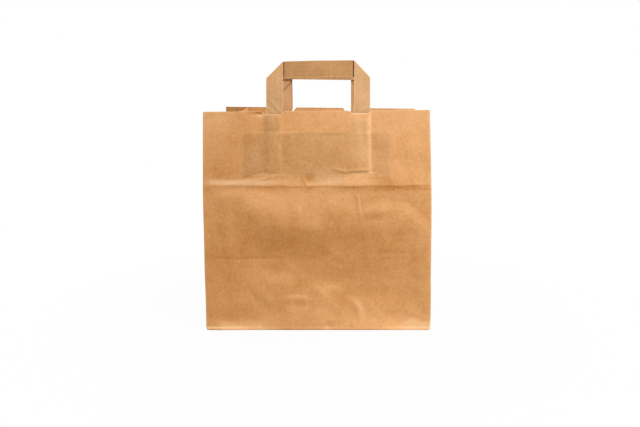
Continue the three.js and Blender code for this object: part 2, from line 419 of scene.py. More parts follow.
# Many faint creases at chance places, the same ones on each run.
def crumple(x, v, seed, count, span_x, span_v, height):
    chance = np.random.default_rng(seed)
    total = np.zeros_like(x)
    for _ in range(count):
        middle = (chance.uniform(*span_x), chance.uniform(*span_v))
        angle = chance.uniform(0, math.pi)
        half = chance.uniform(8, 30)
        start = (middle[0] - half * math.cos(angle), middle[1] - half * math.sin(angle))
        end = (middle[0] + half * math.cos(angle), middle[1] + half * math.sin(angle))
        lift = height * chance.uniform(-1, 1)
        total += crease(x, v, start, end, chance.uniform(4, 12), lift)
    return total


# Waves in the paper, the same ones on each run.
def waves(x, v, seed, height, lengths):
    chance = np.random.default_rng(seed)
    total = np.zeros_like(x)
    for _ in range(9):
        length = chance.uniform(*lengths)
        angle = chance.uniform(0, math.pi)
        phase = chance.uniform(0, 2 * math.pi)
        along = x * math.cos(angle) + v * math.sin(angle)
        total += chance.uniform(0.4, 1.0) * np.sin(2 * math.pi * along / length + phase)
    return total * height / 3.0


# Where the paper lies over a handle's leg.
def over_legs(x, v, soft):
    leg = band(np.abs(x), LEG_INNER, HANDLE_HALF, soft)
    return leg * soft_step(TAIL_END - soft, TAIL_END + soft, v)


# Where the paper lies over a patch.
def over_patch(x, v, soft):
    beyond = soft_step(PATCH_HALF - soft, PATCH_HALF + soft, np.abs(x))
    return (1.0 - beyond) * band(v, PATCH_FOOT, PATCH_TOP, soft)


# The bends of the front panel, straight between the heights and smooth across.
def bent_once(x, v):
    columns = list(FRONT_BENDS)
    total = np.zeros_like(v)
    for left, right in zip(columns, columns[1:]):
        inside = (x >= left) & ((x < right) | (right == columns[-1]))
        share = soft_step(left, right, x)
        at_left = np.interp(v, FRONT_HEIGHTS, FRONT_BENDS[left])
        at_right = np.interp(v, FRONT_HEIGHTS, FRONT_BENDS[right])
        total = np.where(inside, at_left + (at_right - at_left) * share, total)
    return total


# The bends of the front panel, eased over a few millimetres, and its bulge.
def front_profile(x, v):
    x = np.clip(x, -HALF_WIDTH, HALF_WIDTH)
    total = np.zeros_like(v)
    easing = np.minimum(1.0, v / 8.0)
    for shift, weight in BEND_EASING:
        total = total + weight * bent_once(x, v + shift * easing)
    return total + FRONT_BULGE * (1.0 - ((x - BULGE_MIDDLE) / BULGE_REACH) ** 2) * soft_step(10, 150, v)


# The mark of the flap's edge: a thin dark fall below a ridge, softer further down, and a lit slope above it.
def flap_mark(x, v):
    wavering = 0.25 * np.sin(x / 9.0) + 0.2 * np.sin(x / 4.1)
    ridge = FLAP_EDGE + 4.2 - (1.0 - (x / HALF_WIDTH) ** 2) + wavering
    up = v - ridge
    line = through(x, FLAP_LINE)
    soft = through(x, FLAP_SOFT)
    below = np.clip((up + 8.0) / 6.0, 0.0, 1.0) * soft + np.clip((up + 1.6) / 1.6, 0.0, 1.0) * line
    above = (line + soft) * np.clip(1.0 - up / through(x, FLAP_REACH), 0.0, 1.0) ** 1.4
    return np.where(up < 0, below, above)


# What the front panel shows beyond its bends: the flap's mark, dents, creases, shelves and waves.
def front_marks(x, v):
    total = flap_mark(x, v) - all_marks(mound, x, v, FRONT_DENTS)
    total = total + all_marks(crease, x, v, FRONT_CREASES) + all_marks(shelf, x, v, FRONT_SHELVES)
    total = total + crumple(x, v, 21, 90, (-HALF_WIDTH, HALF_WIDTH), CRUMPLED, 0.17)
    total = total + waves(x, v, 5, 0.22, SLOW_WAVES)
    return total + waves(x, v, 14, 0.08, QUICK_WAVES)


# The same for the back panel, with its own bend.
def back_marks(x, v):
    total = crumple(x, v, 33, 110, (-HALF_WIDTH, HALF_WIDTH), CRUMPLED, 0.30)
    total = total + waves(x, v, 8, 0.75, SLOW_WAVES)
    total = total + waves(x, v, 15, 0.11, QUICK_WAVES)
    return total - through(v, BACK_BEND) + all_marks(crease, x, v, BACK_CREASES)


# The same for half a gusset, with the two creases that run right round the bag.
def gusset_marks(g, v, seed):
    total = crumple(g, v, seed, 60, (0, HALF_DEPTH), CRUMPLED, 0.32)
    total = total + waves(g, v, seed + 1, 0.55, SLOW_WAVES)
    total = total + waves(g, v, seed + 2, 0.10, QUICK_WAVES)
    total = total + crease(g, v, (-2, BUNDLE_FOLD), (88, BUNDLE_FOLD + 2), 5.0, -0.55)
    return total + crease(g, v, (-2, FLAP_EDGE), (80, FLAP_EDGE + 3), 5.0, 0.30)


# How far the mouth's edge dips at the legs.
def mouth_dip(side, x):
    return through(x, FRONT_DIPS if side < 0 else BACK_DIPS)


# The mouth isn't cut quite level.
def mouth_drop(side, x):
    if side < 0:
        return 1.2 - 0.0035 * x
    return 0.0155 * x - 0.3


# How far the foot's skew moves a place towards the back.
def skewed(x, v):
    return FOOT_SKEW * x * (1.0 - v / PANEL_HEIGHT)


# A point on a panel, moved inwards by inset.
def panel_point(side, x, v, inset):
    out = panel_out(side, x, v) - inset
    y = side * (HALF_DEPTH - v * math.sin(LEAN) + out * math.cos(LEAN)) + skewed(x, v)
    z = TUBE_BOTTOM + v * math.cos(LEAN) + out * math.sin(LEAN)
    return np.stack([x + edge_slip(side, x, v), y, z], axis=-1)


# One on a panel, down to nought at its two folds.
def free_of_folds(x):
    return 1.0 - soft_step(108, 129, np.abs(x))


# How far a panel stands out from flat, full in its middle and held back at its two folds.
def panel_out(side, x, v):
    if side < 0:
        held = 1.0 - 0.4 * soft_step(95, 130, np.abs(x))
        return front_profile(x, v) * held + front_marks(x, v) * (0.25 + 0.75 * free_of_folds(x))
    return back_marks(x, v) * free_of_folds(x)


# How far a place moves to the right with the folds beside it.
def edge_slip(side, x, v):
    right = through(v, RIGHT_SLIP) + 0.2 * np.sin(v / 13.0 + side)
    left = through(v, LEFT_SLIP) + 0.2 * np.sin(v / 15.0 - side)
    share = (x + HALF_WIDTH) / (2 * HALF_WIDTH)
    return right * share + left * (1.0 - share)


# A point on half of a side gusset: the triangle at its foot, and the wall drawn in above it.
def gusset_point(side, hand, g, v):
    edge_x = np.full_like(v, hand * HALF_WIDTH)
    edge = panel_point(side, edge_x, v, 0.0)
    skew = skewed(hand * HALF_WIDTH, v)
    # The wall is ruled from the panel's fold to the middle fold, or to the diagonal where that is lower.
    share_fold = (np.maximum(v, HALF_DEPTH) - HALF_DEPTH) / (PANEL_HEIGHT - HALF_DEPTH)
    foot_x = HALF_WIDTH - HALF_DEPTH * math.sin(TRIANGLE_LEAN)
    fold_x = foot_x + share_fold * (HALF_WIDTH - GUSSET_PINCH - foot_x)
    foot_z = TUBE_BOTTOM + HALF_DEPTH * math.cos(TRIANGLE_LEAN)
    mouth_z = TUBE_BOTTOM + PANEL_HEIGHT * math.cos(LEAN)
    fold_z = foot_z + share_fold * (mouth_z - foot_z)
    above = v >= HALF_DEPTH
    end = np.stack([
        hand * np.where(above, fold_x, HALF_WIDTH - v * math.sin(TRIANGLE_LEAN)),
        np.where(above, skew, side * (HALF_DEPTH - v) + skew),
        np.where(above, fold_z, TUBE_BOTTOM + v * math.cos(TRIANGLE_LEAN)),
    ], axis=-1)
    reach = np.where(above, HALF_DEPTH, np.maximum(v, 1e-6))
    share = np.clip(g / reach, 0.0, 1.0)[..., None]
    ruled = edge + (end - edge) * share
    low = np.minimum(v, g)
    leaning = np.stack([
        hand * (HALF_WIDTH - low * math.sin(TRIANGLE_LEAN)),
        side * (HALF_DEPTH - g) + skew,
        TUBE_BOTTOM + low * math.cos(TRIANGLE_LEAN),
    ], axis=-1)
    leaning[..., 0] += edge_slip(side, edge_x, v) * (1.0 - np.clip(g / 30.0, 0.0, 1.0))
    in_triangle = (v < g)[..., None]
    return np.where(in_triangle, leaning, ruled)


# Stations across one panel or one gusset half, closer together beside the folds, and at each given place.
def stations(length, step, places):
    inner = np.linspace(0.0, length, int(round(length / step)) + 1)[1:-1]
    fixed = np.concatenate([[0.0, BESIDE_FOLD, length - BESIDE_FOLD, length], places])
    clear = [place for place in inner if np.abs(fixed - place).min() > 0.8]
    return np.sort(np.concatenate([fixed, clear]))


# Stations across the front, the back and half a gusset, and rows up the tube. Half a gusset has the same
# spacing across as the rows have, so that its diagonal runs through corners of the mesh.
front_places = [place + HALF_WIDTH for place, _ in FRONT_DIPS]
back_places = [place + HALF_WIDTH for place, _ in BACK_DIPS]
lap_places = [edge + HALF_WIDTH + soft for edge in LAP_EDGES for soft in (-LAP_SOFT, LAP_SOFT)]
front_run = stations(2 * HALF_WIDTH, FRONT_STEP, front_places) - HALF_WIDTH
back_run = stations(2 * HALF_WIDTH, BACK_STEP, back_places + lap_places) - HALF_WIDTH
gusset_run = stations(HALF_DEPTH, HALF_DEPTH / DIAGONAL_STEPS, FOOT_ROWS[2:])
diagonal_rows = np.linspace(0.0, HALF_DEPTH, DIAGONAL_STEPS + 1)[1:]
span_rows = [np.arange(*span) for span in ROW_SPANS]
rows = np.sort(np.concatenate([FOOT_ROWS, diagonal_rows, *span_rows, MOUTH_ROWS]))


# Only this piece is selected and active.
def pick(sheet):
    bpy.ops.object.select_all(action="DESELECT")
    sheet.select_set(True)
    bpy.context.view_layer.objects.active = sheet


# Where the points of a sheet are, in metres.
def points_of(sheet):
    points = np.empty(len(sheet.data.vertices) * 3)
    sheet.data.vertices.foreach_get("co", points)
    return points.reshape(-1, 3)


# A flat sheet of paper with one square per cell, ready to be folded, and each point's column and row in it.
def paper_sheet(name, columns, lines):
    bpy.ops.object.select_all(action="DESELECT")
    bpy.ops.mesh.primitive_grid_add(x_subdivisions=columns, y_subdivisions=lines, size=2)
    sheet = bpy.context.object
    sheet.name = name
    sheet.data.name = name
    flat = points_of(sheet)
    column = np.rint((flat[:, 0] + 1) / 2 * columns).astype(int)
    line = np.rint((flat[:, 1] + 1) / 2 * lines).astype(int)
    return sheet, column, line


# Each point of a sheet goes to its place.
def move_points(sheet, places):
    sheet.data.vertices.foreach_set("co", (places * MM).ravel())
    sheet.data.update()


# A value for each point, which the materials read.
def give_attribute(sheet, name, values):
    layer = sheet.data.attributes.new(name, "FLOAT", "POINT")
    layer.data.foreach_set("value", values.astype(np.float32))


# Edit mode starts with only the chosen points selected.
def edit_chosen(sheet, chosen):
    bpy.ops.object.mode_set(mode="EDIT")
    bpy.ops.mesh.select_mode(type="VERT")
    bpy.ops.mesh.select_all(action="DESELECT")
    bpy.ops.object.mode_set(mode="OBJECT")
    for vertex, picked in zip(sheet.data.vertices, chosen):
        vertex.select = bool(picked)
    bpy.ops.object.mode_set(mode="EDIT")


# All faces turn to point the other way.
def turn_over(sheet):
    pick(sheet)
    bpy.ops.object.mode_set(mode="EDIT")
    bpy.ops.mesh.select_all(action="SELECT")
    bpy.ops.mesh.flip_normals()
    bpy.ops.object.mode_set(mode="OBJECT")


# A sheet gets the paper's thickness, and its inner face the material that many slots further on.
def give_thickness(sheet, thickness, offset, inside):
    solid = sheet.modifiers.new("Thickness", "SOLIDIFY")
    solid.material_offset = inside
    solid.thickness = thickness * MM
    solid.offset = offset
    solid.use_even_offset = False
    pick(sheet)
    bpy.ops.object.modifier_apply(modifier=solid.name)


# Shading is smooth except at edges sharper than this.
def smooth_folds(sheet, degrees):
    pick(sheet)
    bpy.ops.object.shade_smooth_by_angle(angle=math.radians(degrees))


# The camera comes first.
bpy.ops.object.camera_add(location=CAMERA_PLACE, rotation=CAMERA_TURN)
camera = bpy.context.object
camera.name = "photo_camera"
camera.data.lens = CAMERA_LENS
camera.data.shift_y = CAMERA_SHIFT
camera.data.clip_start = 0.01
bpy.context.scene.camera = camera


# A new node with some of its inputs set.
def new_node(nodes, kind, values):
    node = nodes.new("ShaderNode" + kind)
    for name, value in values.items():
        node.inputs[name].default_value = value
    return node


# A node that turns one range of values into another.
def range_node(nodes, start, end, first, last):
    return new_node(nodes, "MapRange", {"From Min": start, "From Max": end, "To Min": first, "To Max": last})


# A kraft paper: mottling, fibres and the ribs of the paper machine, with the wear, tones and painted light
# and shade of its piece.
def kraft_material(name, dark, light, pale, rib_scale, hatch_scale, coordinates):
    made = bpy.data.materials.new(name)
    made.use_nodes = True
    nodes = made.node_tree.nodes
    links = made.node_tree.links
    shader = nodes["Principled BSDF"]
    shader.inputs["IOR"].default_value = 1.45
    shader.inputs["Specular IOR Level"].default_value = 0.16
    place = nodes.new("ShaderNodeTexCoord")
    spot = place.outputs[coordinates]

    def noise(scale, detail, roughness, vector):
        node = new_node(nodes, "TexNoise", {"Scale": scale, "Detail": detail, "Roughness": roughness})
        links.new(vector, node.inputs["Vector"])
        return node.outputs["Fac"]

    def stretched(scale, turn):
        node = new_node(nodes, "Mapping", {"Scale": scale, "Rotation": turn})
        links.new(spot, node.inputs["Vector"])
        return node.outputs["Vector"]

    def math_node(kind, first, second):
        node = nodes.new("ShaderNodeMath")
        node.operation = kind
        for socket, value in zip(node.inputs, (first, second)):
            if isinstance(value, (int, float)):
                socket.default_value = value
            else:
                links.new(value, socket)
        return node.outputs[0]

    def swing(value, amount):
        return math_node("MULTIPLY", math_node("SUBTRACT", value, 0.5), amount)

    def ranged(value, start, end, first, last):
        node = range_node(nodes, start, end, first, last)
        links.new(value, node.inputs["Value"])
        return node.outputs["Result"]

    def painted(attribute):
        node = nodes.new("ShaderNodeAttribute")
        node.attribute_name = attribute
        return node.outputs["Fac"]

    def tinted(colour, kind, share, tint):
        node = nodes.new("ShaderNodeMix")
        node.data_type = "RGBA"
        node.blend_type = kind
        sockets = [socket for socket in node.inputs if socket.type == "RGBA"]
        sockets[1].default_value = (*tint, 1)
        links.new(share, node.inputs["Factor"])
        links.new(colour, sockets[0])
        return [socket for socket in node.outputs if socket.type == "RGBA"][0]

    # The paper's pattern, each part swinging the tone by its own amount, and the tone with painted light and
    # shade set on the piece.
    mottle = noise(38, 4, 0.55, spot)
    cloud = noise(260, 3, 0.6, spot)
    fibre = noise(1.0, 3, 0.7, stretched((1500, 1500, 380), (0.5, 0.35, 0.2)))
    fibre_two = noise(1.0, 3, 0.7, stretched((1300, 1300, 330), (-0.6, -0.4, 0.9)))
    ribs = noise(1.0, 2, 0.5, stretched(rib_scale, (0, 0, 0)))
    hatch = noise(1.0, 2, 0.5, stretched(hatch_scale, (0, 0, 0)))
    tone_light_and_shade = swing(mottle, 0.44)
    for part, amount in ((cloud, 0.47), (fibre, 0.60), (fibre_two, 0.50), (ribs, 0.28), (hatch, 0.28)):
        tone_light_and_shade = math_node("ADD", tone_light_and_shade, swing(part, amount))
    tone_light_and_shade = math_node("ADD", tone_light_and_shade, painted("tone_light_and_shade"))
    tone_light_and_shade = math_node("ADD", math_node("MULTIPLY", tone_light_and_shade, TONE_SHARE), 0.5)

    # The tone picks the colour, from a painted shadow colour darker than dark to a painted highlight colour
    # lighter than light.
    paint = nodes.new("ShaderNodeValToRGB")
    stops = paint.color_ramp.elements
    stops[0].position = 0.0
    stops[0].color = (0.36 * dark[0], 0.32 * dark[1], 0.27 * dark[2], 1)
    stops[1].position = 1.0
    stops[1].color = (1.22 * light[0], 1.3 * light[1], 1.4 * light[2], 1)
    for position, colour in ((0.3, dark), (0.7, light)):
        stop = stops.new(position)
        stop.color = (*colour, 1)
    links.new(tone_light_and_shade, paint.inputs["Fac"])

    # Paleness from wear and painted highlights, painted shade over what lies behind the paper, painted warm
    # light at a corner of the mouth and painted warmer light on the low part of the bag change the colour.
    colour = tinted(paint.outputs["Color"], "MIX", math_node("MULTIPLY", painted("wear_and_highlight"), WEAR_AND_HIGHLIGHT_SHARE), pale)
    colour = tinted(colour, "MULTIPLY", painted("shade_through"), SHADE_THROUGH_TINT)
    colour = tinted(colour, "MULTIPLY", painted("painted_warm_light"), WARM_LIGHT_TINT)
    axes = nodes.new("ShaderNodeSeparateXYZ")
    links.new(place.outputs["Object"], axes.inputs[0])
    low = ranged(axes.outputs["Z"], LOW_FROM, LOW_FULL, 0.0, 1.0)
    colour = tinted(colour, "MULTIPLY", low, LOW_LIGHT_TINT)
    links.new(colour, shader.inputs["Base Color"])
    links.new(ranged(cloud, 0.0, 1.0, 0.52, 0.78), shader.inputs["Roughness"])

    # Fibres, cockling and ribs can be felt.
    cockle = noise(120, 3, 0.55, spot)
    height = math_node("ADD", math_node("MULTIPLY", fibre, 0.35), math_node("MULTIPLY", cockle, 1.6))
    height = math_node("ADD", height, math_node("MULTIPLY", ribs, 0.25))
    bump = new_node(nodes, "Bump", {"Strength": 0.55, "Distance": 0.00012})
    links.new(height, bump.inputs["Height"])
    links.new(bump.outputs["Normal"], shader.inputs["Normal"])
    return made


bag_kraft = kraft_material(
    "bag_kraft", dark=(0.445, 0.177, 0.037), light=(0.775, 0.435, 0.205), pale=(0.95, 0.69, 0.44),
    rib_scale=(1700, 1700, 70), hatch_scale=(60, 60, 1500), coordinates="Object")
inside_kraft = kraft_material(
    "inside_kraft", dark=(0.46, 0.210, 0.061), light=(0.79, 0.465, 0.225), pale=(0.90, 0.62, 0.36),
    rib_scale=(1700, 1700, 70), hatch_scale=(60, 60, 1500), coordinates="Object")
tape_kraft = kraft_material(
    "tape_kraft", dark=(0.37, 0.190, 0.074), light=(0.61, 0.366, 0.188), pale=(0.88, 0.63, 0.40),
    rib_scale=(70, 1700, 1700), hatch_scale=(1500, 60, 60), coordinates="UV")


# The bag: one sheet folded into a tube with gussets, and a bottom across its foot.
def fold_bag():
    # Each run of the tube: its kind, side, hand, and the stations across it.
    runs = [
        ("panel", -1, 1, front_run),
        ("gusset", -1, 1, gusset_run),
        ("gusset", 1, 1, gusset_run[::-1]),
        ("panel", 1, 1, back_run[::-1]),
        ("gusset", 1, -1, gusset_run),
        ("gusset", -1, -1, gusset_run[::-1]),
    ]
    columns = sum(len(run[3]) - 1 for run in runs)
    bag, column, line = paper_sheet("bag_paper", columns, len(rows) - 1)
    places = np.zeros((len(column), 3))
    paints = {name: np.zeros(len(column)) for name in ("wear_and_highlight", "shade_through", "tone_light_and_shade", "painted_warm_light")}
    on_diagonal = np.zeros(len(column), dtype=bool)
    first = 0
    for kind, side, hand, run in runs:
        here = (column >= first) & (column <= first + len(run) - 1)
        across = run[column[here] - first]
        v = rows[line[here]]
        if kind == "panel":
            places[here], paint = panel_paper(side, across, v)
        else:
            places[here], paint = gusset_paper(side, hand, across, v)
            on_diagonal[here] = np.abs(across - v) < 0.01
        for name, values in paint.items():
            paints[name][here] = values
        first += len(run) - 1
    # The flat sheet is split along the diagonals of the gussets, then it is folded.
    edit_chosen(bag, on_diagonal)
    bpy.ops.mesh.vert_connect()
    bpy.ops.object.mode_set(mode="OBJECT")
    move_points(bag, places)
    for name, values in paints.items():
        give_attribute(bag, name, values)
    close_bag(bag)
    return bag


# Places and paint of a panel, lifted by what is glued behind it.
def panel_paper(side, x, v):
    from_edge = PANEL_HEIGHT - v
    dip = mouth_dip(side, x) * soft_step(DIPS_FROM, PANEL_HEIGHT, v)
    v = v - dip - mouth_drop(side, x) * soft_step(SLOPE_FROM, PANEL_HEIGHT, v)
    raised = leg_rise(x, v)
    lift = 0.75 * raised + 0.15 * over_patch(x, v, 1.3)
    out = lift * free_of_folds(x) - 0.9 * raised * soft_step(240, PANEL_HEIGHT, v)
    if side > 0:
        out = out + LAP_LIFT * band(x, *LAP_EDGES, LAP_SOFT) * soft_step(2, 8, v)
    point = panel_point(side, x, v, -out)
    fold = soft_step(ROUND_REACH, 0.0, HALF_WIDTH - np.abs(x))
    foot = soft_step(ROUND_REACH, 0.0, v)
    point[:, 0] -= np.sign(x) * FOLD_IN * fold
    point[:, 1] -= side * (FOLD_IN * fold + FOOT_IN * foot * (1.0 - fold))
    paint = front_paint(x, v, from_edge) if side < 0 else back_paint(x, v, from_edge)
    return point, paint


# The paper rises slowly over the left edge of each leg and drops quickly at its right edge.
def leg_rise(x, v):
    left = soft_step(-HANDLE_HALF - 3.0, -HANDLE_HALF + 8.0, x)
    left = left * soft_step(1.0 - LEG_INNER, -1.0 - LEG_INNER, x)
    right = soft_step(LEG_INNER - 3.0, LEG_INNER + 8.0, x)
    right = right * soft_step(HANDLE_HALF + 1.0, HANDLE_HALF - 1.0, x)
    return (left + right) * soft_step(TAIL_END - 2.2, TAIL_END + 1.6, v)


# Painted shade where what is behind the paper blocks the light that shines through it.
def shown_through(x, v):
    lifted = through(x, PATCH_FADE)
    near = over_patch(x, v, 1.3) * soft_step(lifted - 1.8, lifted + 1.8, v)
    return np.maximum(near * through(x, PATCH_SHADE), over_legs(x, v, 1.0) * through(x, LEG_SHADE))


# A fold is rubbed within a few millimetres.
def fold_wear(distance):
    return 0.6 * soft_step(2.5, 0.0, distance)


# The mouth's edge is paler where it bends over a leg, from rubbing and a painted highlight.
def leg_edge_wear_and_highlight(x, v, from_edge):
    return 0.5 * soft_step(2.6, 0.0, from_edge) * over_legs(x, v, 1.0)


# How pale from wear and painted highlights, how shaded through, and how light or dark with stains and painted
# light and shade the front panel's paper is.
def front_paint(x, v, from_edge):
    # Folds and edges rubbed pale, painted highlights along the mouth's edge, the foot's fold, the bottom
    # corners, the bundle crease and the slope above the flap's mark, and paler towards the mouth.
    wear_and_highlight = fold_wear(HALF_WIDTH - np.abs(x)) + leg_edge_wear_and_highlight(x, v, from_edge)
    wear_and_highlight = wear_and_highlight + 0.55 * soft_step(1.6, 0.0, from_edge) + 0.12 * soft_step(215, 245, v)
    wear_and_highlight = wear_and_highlight + through(x, FOOT_PALE) * band(v, 1.5, 3.6, 0.9)
    wear_and_highlight = wear_and_highlight + 0.35 * soft_step(14, 4, v) * band(x, -110, -62, 12.0)
    wear_and_highlight = wear_and_highlight + 0.65 * soft_step(1.0, 0.72, v / through(x, CORNER_REACH)) * soft_step(88, 104, x)
    wear_and_highlight = wear_and_highlight + 0.18 * band(v, BUNDLE_FOLD + 1.5, BUNDLE_FOLD + 4.5, 1.0) * soft_step(44, 58, x)
    wear_and_highlight = wear_and_highlight + 0.75 * band(v, 169.8, 174.6 - 0.006 * np.minimum(x, 0.0), 1.3) * through(x, FLAP_PALE)
    # Painted highlight beside the right leg's right edge, and painted light over the right leg.
    wear_and_highlight = wear_and_highlight + 0.7 * band(x, 60.4, 63.2, 0.9) * soft_step(181, 184, v)
    wear_and_highlight = wear_and_highlight + 0.28 * band(x, 38, 61, 4.0) * band(v, 194, 246, 10.0)
    # Pale lines, spots and corners, from rubbing and painted highlights.
    wear_and_highlight = wear_and_highlight + all_marks(crease, x, v, WEAR_AND_HIGHLIGHT_LINES) + all_marks(mound, x, v, WEAR_AND_HIGHLIGHT_SPOTS)
    wear_and_highlight = wear_and_highlight + all_marks(corner_fade, x, v, PALE_CORNERS)
    # Painted light and shade from the relief, and painted shade towards the left, at the foot, under the
    # flap's mark, by the left leg at the mouth and along the right fold.
    tone_light_and_shade = painted_slope_light(-1, x, v) + 0.07 * np.minimum(x, 0.0) / HALF_WIDTH - 0.45 * soft_step(1.4, 0.4, v)
    tone_light_and_shade = tone_light_and_shade - through(x, FLAP_STRIP) * band(v, 163.4, 166.8, 1.1)
    tone_light_and_shade = tone_light_and_shade - 0.1 * band(x, -92, -46, 8.0) * soft_step(222, 240, v)
    tone_light_and_shade = tone_light_and_shade - 0.25 * band(x, 126.4, 127.6, 0.7) * band(v, 14, 60, 6.0)
    # Stains, and painted light and shade of the domes, dents and corners.
    tone_light_and_shade = tone_light_and_shade + all_marks(mound, x, v, STAIN_AND_SHADE_SPOTS) + all_marks(corner_fade, x, v, LIGHT_AND_SHADE_CORNERS)
    # The slot at the mouth is painted dark as a shadow, and gets no paleness.
    slot = through(x, MOUTH_SLOT_SHADOW) * band(from_edge, 0.8, 2.4, 0.3)
    return {"wear_and_highlight": wear_and_highlight * (1.0 - slot), "shade_through": shown_through(x, v), "tone_light_and_shade": tone_light_and_shade - 0.75 * slot}


# The same for the back panel, with painted light and shade from its slopes, a darker mouth's edge, and
# painted shade near its top left corner and over what lies behind.
def back_paint(x, v, from_edge):
    wear_and_highlight = fold_wear(HALF_WIDTH - np.abs(x)) + leg_edge_wear_and_highlight(x, v, from_edge) + 0.5 * soft_step(4.0, 0.0, v)
    tone_light_and_shade = painted_slope_light(1, x, v) - 0.5 * soft_step(1.6, 0.0, from_edge)
    tone_light_and_shade = tone_light_and_shade + corner_fade(x, v, (-66, -74), (232, 246), -0.24)
    return {"wear_and_highlight": wear_and_highlight, "shade_through": 0.65 * shown_through(x, v), "tone_light_and_shade": tone_light_and_shade}


# Painted light and shade from the relief: slopes that face up or right are painted paler than slopes that
# face down or left.
def painted_slope_light(side, x, v):
    step = 1.0
    up = (panel_out(side, x, v + step) - panel_out(side, x, v - step)) / (2 * step)
    across = (panel_out(side, x + step, v) - panel_out(side, x - step, v)) / (2 * step)
    return np.clip(-1.7 * up - 0.8 * across, -0.4, 0.45)


# Places and paint of half a gusset.
def gusset_paper(side, hand, g, v):
    seed = 50 + 7 * (side + 1) + 3 * (hand + 1)
    # Painted warm light at the mouth of the left gusset's back half, and painted light at the mouth of both
    # left halves.
    painted_warm_light = (side > 0) * (hand < 0) * soft_step(234, 248, v)
    tone_light_and_shade = -0.12 + 0.16 * (hand < 0) * soft_step(228, 250, v) + 0.12 * painted_warm_light
    # The edge at the mouth runs from the panel's own height to the height of the middle fold.
    at_panel = mouth_drop(side, hand * HALF_WIDTH)
    at_middle = mouth_drop(1, hand * HALF_WIDTH) + 0.2
    share = g / HALF_DEPTH
    sag = at_panel + (at_middle - at_panel) * share ** 10
    if side < 0:
        sag = sag + 2.0 * share * (1.0 - share ** 5)
    v = v - sag * soft_step(SLOPE_FROM, PANEL_HEIGHT, v)
    # The marks stand out square to the paper, and are held at the folds.
    step = 0.05
    base = gusset_point(side, hand, g, v)
    further = gusset_point(side, hand, np.minimum(g + step, HALF_DEPTH), v)
    along = further - gusset_point(side, hand, np.maximum(g - step, 0), v)
    up = gusset_point(side, hand, g, v + step) - gusset_point(side, hand, g, np.maximum(v - step, 0))
    out = np.cross(along, up)
    out = out / np.maximum(np.linalg.norm(out, axis=1), 1e-9)[:, None]
    out = out * np.where(out[:, 0] * hand < 0, -1.0, 1.0)[:, None]
    held = soft_step(0, 12, g) * soft_step(0, 10, HALF_DEPTH - g) * soft_step(0, 12, v)
    at_diagonal = 0.25 + 0.75 * soft_step(0, 9, np.abs(v - g))
    point = base + out * (gusset_marks(g, v, seed) * held * at_diagonal)[:, None]
    fold = soft_step(ROUND_REACH, 0.0, g)
    foot = soft_step(ROUND_REACH, 0.0, v)
    point[:, 0] -= hand * (FOLD_IN * fold + FOOT_IN * foot * (1.0 - fold))
    point[:, 1] -= side * FOLD_IN * fold
    patchy = 0.62 + 0.2 * np.sin(v / 7.3 + seed) + 0.18 * np.sin(v / 3.1 + 2 * seed)
    wear_and_highlight = fold_wear(g) + 0.5 * soft_step(2.2, 0.0, HALF_DEPTH - g) * patchy
    wear_and_highlight = wear_and_highlight + 0.5 * soft_step(2.6, 0.0, np.abs(v - g)) * patchy + 0.3 * soft_step(3.0, 0.0, v)
    return point, {"wear_and_highlight": wear_and_highlight, "tone_light_and_shade": tone_light_and_shade, "painted_warm_light": painted_warm_light}


# The tube's two ends meet, its foot is filled, and all its faces point outwards.
def close_bag(bag):
    bpy.ops.object.mode_set(mode="EDIT")
    bpy.ops.mesh.select_all(action="SELECT")
    bpy.ops.mesh.remove_doubles(threshold=0.02 * MM)
    bpy.ops.object.mode_set(mode="OBJECT")
    edit_chosen(bag, points_of(bag)[:, 2] < (TUBE_BOTTOM + 0.2) * MM)
    bpy.ops.mesh.edge_face_add()
    bpy.ops.mesh.select_all(action="SELECT")
    bpy.ops.mesh.normals_make_consistent(inside=False)
    bpy.ops.object.mode_set(mode="OBJECT")


bag = fold_bag()
bag.data.materials.append(bag_kraft)
bag.data.materials.append(inside_kraft)
give_thickness(bag, PAPER, -1, 1)
smooth_folds(bag, BAG_SMOOTH)


# One of the two flaps that close the bottom: as wide as the bag at its fold and narrower at its free edge.
def lay_bottom_flap(name, side, height):
    across = np.linspace(-1.0, 1.0, 81)
    depths = np.concatenate([[0.0, 0.5], np.linspace(3.0, HALF_DEPTH + FLAP_LAP, 34)])
    flap, column, line = paper_sheet(name, len(across) - 1, len(depths) - 1)
    share = across[column]
    depth = depths[line]
    x = share * (HALF_WIDTH - FLAP_INSET - depth)
    y = side * (HALF_DEPTH - FLAP_INSET - depth) + FOOT_SKEW * x
    z = height + 0.02 * np.sin(x / 17.0 + side) * np.sin(depth / 13.0)
    move_points(flap, np.stack([x, y, z], axis=-1))
    to_side = (1.0 - np.abs(share)) * (HALF_WIDTH - depth) * 0.7
    edge = np.minimum(HALF_DEPTH + FLAP_LAP - depth, to_side)
    overlap = HALF_DEPTH - FLAP_LAP
    give_attribute(flap, "wear_and_highlight", 0.5 * soft_step(2.0, 0.0, edge) + 0.4 * soft_step(2.5, 0.0, depth))
    # Painted shade where the other flap lies behind.
    give_attribute(flap, "shade_through", 0.4 * soft_step(overlap, overlap + 1.0, depth))
    give_attribute(flap, "tone_light_and_shade", 0.15 * np.sin(x / 31.0) * np.sin(depth / 23.0 + 1.0))
    flap.data.materials.append(bag_kraft)
    if side > 0:
        turn_over(flap)
    give_thickness(flap, FLAP_PAPER, 0, 0)
    smooth_folds(flap, SHEET_SMOOTH)
    return flap


front_flap = lay_bottom_flap("front_bottom_flap", -1, FRONT_FLAP_HEIGHT)
back_flap = lay_bottom_flap("back_bottom_flap", 1, BACK_FLAP_HEIGHT)

